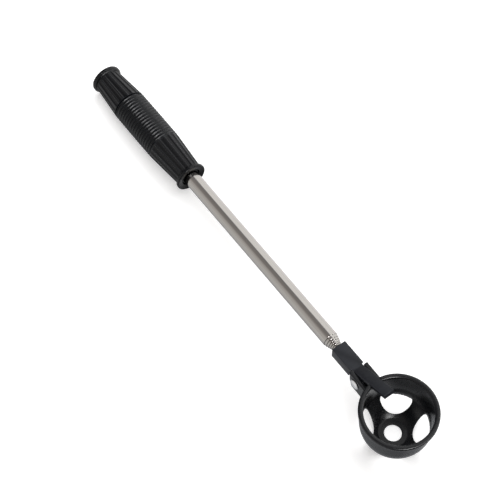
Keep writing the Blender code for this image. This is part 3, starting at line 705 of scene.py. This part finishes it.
def build_cup():
    """Bowl, ears and windows are joined and cut, then remeshed, which leaves a moulding's small radii."""
    cup_frame = HINGE_FRAME @ Matrix.Translation(Vector((CUP_OFFSET, 0, -CUP_DROP)) * MM)
    cup = new_object("cup_fine", turned(cup_profile(), CUP_SEGMENTS, axis="Z"), cup_frame)
    for low, high in ((EAR_INNER, EAR_OUTER), (-EAR_OUTER, -EAR_INNER)):
        ear = filleted([(x, y, EAR_ROUNDING if x < 0 else 0) for x, y in EAR_OUTLINE])
        combine(cup, extruded(ear, low, high), "UNION", HINGE_FRAME)
    web_half_width = EAR_INNER + WEB_OVERLAP
    combine(cup, extruded(WEB_OUTLINE, -web_half_width, web_half_width), "UNION", HINGE_FRAME)
    seat = EAR_OUTER - TAIL_POCKET_DEPTH
    hole = [(-LIP_RADIUS, 0), (-LIP_RADIUS, RIVET_BORE), (seat, RIVET_BORE), (seat, TAIL_POCKET_RADIUS),
            (LIP_RADIUS, TAIL_POCKET_RADIUS), (LIP_RADIUS, 0)]
    combine(cup, turned(hole, BORE_SEGMENTS, axis="Y"), "DIFFERENCE", HINGE_FRAME)
    notch = [(0, NOTCH_FLOOR), (NOTCH_END, NOTCH_FLOOR), (NOTCH_END, CUP_HEIGHT), (0, CUP_HEIGHT)]
    combine(cup, extruded(notch, -EAR_INNER, EAR_INNER), "DIFFERENCE", HINGE_FRAME)
    for quarter in range(4):
        turn = Matrix.Rotation(math.radians(45 + 90 * quarter + WINDOW_TURN_DEG), 4, "Z")
        window = extruded(window_outline(), WINDOW_CUT_LOW, WINDOW_CUT_HIGH, axis="Z")
        combine(cup, window, "DIFFERENCE", cup_frame @ turn)
    settle(cup)
    modify(cup, "REMESH", mode="VOXEL", voxel_size=CUP_VOXEL * MM, adaptivity=0.0)
    modify(cup, "SMOOTH", factor=CUP_SMOOTHING, iterations=CUP_SMOOTHING_ROUNDS)
    settle(cup)
    finished(cup, CUP_PLASTIC, "cup", "cup", 180.0)


def build_rivet():
    """Domed head on the near ear, shank, and a tail spread over the washer in the far ear's pocket."""
    head = -(EAR_OUTER + FACE_GAP)
    seat = EAR_OUTER - TAIL_POCKET_DEPTH + 2 * FACE_GAP + WASHER_THICKNESS
    end = seat + TAIL_HEIGHT
    corners = []
    for step in range(DOME_STEPS):
        share = step / DOME_STEPS
        rise = RIVET_HEAD_HEIGHT * math.sqrt(1 - share ** DOME_POWER)
        corners.append((head - rise, RIVET_HEAD_RADIUS * share, 0))
    corners += [(head - RIVET_HEAD_EDGE, RIVET_HEAD_RADIUS, 0.12), (head, RIVET_HEAD_RADIUS, 0.1),
                (head, RIVET_RADIUS, 0.1), (seat, RIVET_RADIUS, 0.1), (seat, TAIL_RADIUS, 0.1),
                (end, TAIL_RADIUS, 0.3)]
    corners += [(end - depth, radius, rounding) for depth, radius, rounding in TAIL_DIMPLE]
    item = new_object("hinge_rivet_fine", turned(filleted(corners), RIVET_SEGMENTS, axis="Y"), HINGE_FRAME)
    finished(item, BRIGHT_STEEL, "cup", "hinge_rivet")


def build_washer():
    near = EAR_OUTER - TAIL_POCKET_DEPTH + FACE_GAP
    far = near + WASHER_THICKNESS
    corners = [(near, RIVET_BORE, 0.05), (near, WASHER_RADIUS, 0.1), (far, WASHER_RADIUS, 0.12),
               (far, RIVET_BORE, 0.05)]
    item = new_object("rivet_washer_fine", turned(filleted(corners), RIVET_SEGMENTS, axis="Y"), HINGE_FRAME)
    finished(item, BRIGHT_STEEL, "cup", "rivet_washer")


# ------------------------------------------------------------------ floor, light and camera, in metres

FLOOR_SIZE, BACKDROP_HEIGHT, BACKDROP_SIDES = 30.0, 20.0, 64
FLOOR_GLOW = 0.42
CAMERA_AZIMUTH_DEG, CAMERA_ELEVATION_DEG, CAMERA_ROLL_DEG = 50.93, 61.44, 3.1
CAMERA_DISTANCE = 1.0631
CAMERA_LENS_MM, SENSOR_MM = 108.0, 36.0
CLIP_START, CLIP_END = 0.05, 100.0
AIM_OFFSET = Vector((-0.00095, -0.0019, -0.0029))
LIGHT_AIM = Vector((0, 0, 0.02))


def build_floor():
    mesh = bmesh.new()
    bmesh.ops.create_grid(mesh, x_segments=1, y_segments=1, size=FLOOR_SIZE / 2)
    floor = new_object("floor", mesh, Matrix.Identity(4))
    shader = Shader("floor_paper")
    shader.set("Base Color", shader.mix(shader.noise(40.0), (0.86, 0.86, 0.86), (0.88, 0.88, 0.88)))
    shader.set("Roughness", 0.8)
    shader.set("Specular IOR Level", 0.2)
    shader.set("Emission Color", (1.0, 1.0, 1.0, 1.0))
    shader.set("Emission Strength", FLOOR_GLOW)
    floor.data.materials.append(shader.material)
    floor.visible_glossy = False


def build_backdrop():
    """A white wall round the floor that only the camera sees, so that the light tent isn't in view."""
    mesh = bmesh.new()
    radius = FLOOR_SIZE / 2
    bmesh.ops.create_cone(mesh, segments=BACKDROP_SIDES, radius1=radius, radius2=radius,
                          depth=BACKDROP_HEIGHT)
    wall = new_object("backdrop", mesh, Matrix.Identity(4))
    shader = Shader("backdrop_white")
    shader.set("Base Color", (0.0, 0.0, 0.0, 1.0))
    shader.set("Emission Color", (1.0, 1.0, 1.0, 1.0))
    shader.set("Emission Strength", 1.0)
    wall.data.materials.append(shader.material)
    wall.visible_diffuse = False
    wall.visible_glossy = False
    wall.visible_shadow = False


def soft_box(name, centre, width, height, radiance, glossy=True, diffuse=True):
    """A rectangular light that faces the tool; its power is set from the brightness of its face."""
    data = bpy.data.lights.new(name, "AREA")
    data.shape = "RECTANGLE"
    data.size, data.size_y = width, height
    data.energy = radiance * math.pi * width * height
    lamp = bpy.data.objects.new(name, data)
    bpy.context.scene.collection.objects.link(lamp)
    lamp.location = centre
    facing = Vector(centre) - LIGHT_AIM
    lamp.rotation_mode = "QUATERNION"
    lamp.rotation_quaternion = facing.to_track_quat("Z", "Y")
    lamp.visible_camera = False
    lamp.visible_glossy = glossy
    lamp.visible_diffuse = diffuse


# The light tent round the X axis: degrees from overhead towards +Y, and the tent's colour there.
SKY_STOPS = ((-180, (0.38, 0.39, 0.41)), (-165, (0.40, 0.41, 0.43)), (-150, (0.56, 0.57, 0.58)),
             (-132, (0.78, 0.78, 0.78)), (-98, (0.84, 0.84, 0.83)), (-86, (0.76, 0.75, 0.73)),
             (-60, (0.70, 0.68, 0.66)), (-46, (0.53, 0.50, 0.485)), (-32, (0.37, 0.35, 0.34)),
             (-10, (0.33, 0.315, 0.31)), (15, (0.33, 0.32, 0.325)), (18, (1.42, 1.42, 1.42)),
             (26, (1.26, 1.26, 1.25)), (60, (1.26, 1.26, 1.25)), (100, (1.26, 1.26, 1.26)),
             (142, (1.15, 1.15, 1.15)), (165, (0.50, 0.51, 0.53)))
# The tent is open at both ends: the X component of a direction, and the share of the brightness there.
TENT_STOPS = ((-0.90, 0.15), (-0.62, 1.0), (0.42, 1.0), (0.64, 0.20))


def sky_ramp(tree, source, limit, stops):
    """A colour ramp of a value from -limit to limit; a stop is a share of that range and a colour."""
    place = tree.nodes.new("ShaderNodeMapRange")
    place.inputs["From Min"].default_value = -limit
    place.inputs["From Max"].default_value = limit
    tree.links.new(source, place.inputs["Value"])
    ramp = tree.nodes.new("ShaderNodeValToRGB")
    tree.links.new(place.outputs["Result"], ramp.inputs["Fac"])
    elements = ramp.color_ramp.elements
    elements.remove(elements[-1])
    for index, (share, colour) in enumerate(stops):
        stop = elements[0] if index == 0 else elements.new(share)
        stop.position = share
        stop.color = (*colour, 1.0)
    return ramp.outputs["Color"]


def build_sky():
    """Light tent round the X axis: its brightness follows the angle from overhead towards +Y."""
    world = bpy.data.worlds.new("studio")
    world.use_nodes = True
    tree = world.node_tree
    split = tree.nodes.new("ShaderNodeSeparateXYZ")
    tree.links.new(tree.nodes.new("ShaderNodeTexCoord").outputs["Generated"], split.inputs[0])
    angle = tree.nodes.new("ShaderNodeMath")
    angle.operation = "ARCTAN2"
    tree.links.new(split.outputs["Y"], angle.inputs[0])
    tree.links.new(split.outputs["Z"], angle.inputs[1])
    round_tent = [((degrees + 180) / 360, colour) for degrees, colour in SKY_STOPS]
    along_tent = [((x + 1) / 2, (strength,) * 3) for x, strength in TENT_STOPS]
    background = tree.nodes["Background"]
    tree.links.new(sky_ramp(tree, angle.outputs[0], math.pi, round_tent), background.inputs["Color"])
    tree.links.new(sky_ramp(tree, split.outputs["X"], 1.0, along_tent), background.inputs["Strength"])
    bpy.context.scene.world = world


def build_light():
    build_sky()
    soft_box("front", (1.00, -0.15, 0.88), 0.50, 0.50, 14.0, diffuse=False)
    soft_box("front_side", (1.05, 0.42, 0.70), 0.50, 0.50, 6.0, diffuse=False)
    soft_box("side", (0.78, 1.02, 0.28), 0.60, 0.50, 3.0, diffuse=False)
    soft_box("top", (-0.1, 0.2, 2.2), 2.2, 2.2, 2.3, glossy=False)
    bpy.context.scene.view_settings.view_transform = "Standard"


def build_camera():
    low, high = CAD_BOUNDS
    aim = (low + high) / 2 + AIM_OFFSET
    azimuth, elevation = math.radians(CAMERA_AZIMUTH_DEG), math.radians(CAMERA_ELEVATION_DEG)
    back = Vector((math.sin(azimuth) * math.cos(elevation), -math.cos(azimuth) * math.cos(elevation),
                   math.sin(elevation)))
    data = bpy.data.cameras.new("camera")
    data.lens, data.sensor_width = CAMERA_LENS_MM, SENSOR_MM
    data.clip_start, data.clip_end = CLIP_START, CLIP_END
    camera = bpy.data.objects.new("camera", data)
    bpy.context.scene.collection.objects.link(camera)
    roll = Matrix.Rotation(math.radians(CAMERA_ROLL_DEG), 4, "Z")
    turn = (-back).to_track_quat("-Z", "Y").to_matrix().to_4x4()
    camera.matrix_world = Matrix.Translation(aim + back * CAMERA_DISTANCE) @ turn @ roll
    bpy.context.scene.camera = camera


build_grip()
build_grip_sleeve()
build_butt_plug()
for number in range(1, TUBES + 1):
    build_tube(number)
for number in range(2, TUBES + 1):
    build_collar(number)
build_head_block()
build_head_stud()
build_cup()
build_rivet()
build_washer()
build_floor()
build_backdrop()
build_light()
build_camera()

bpy.context.view_layer.update()
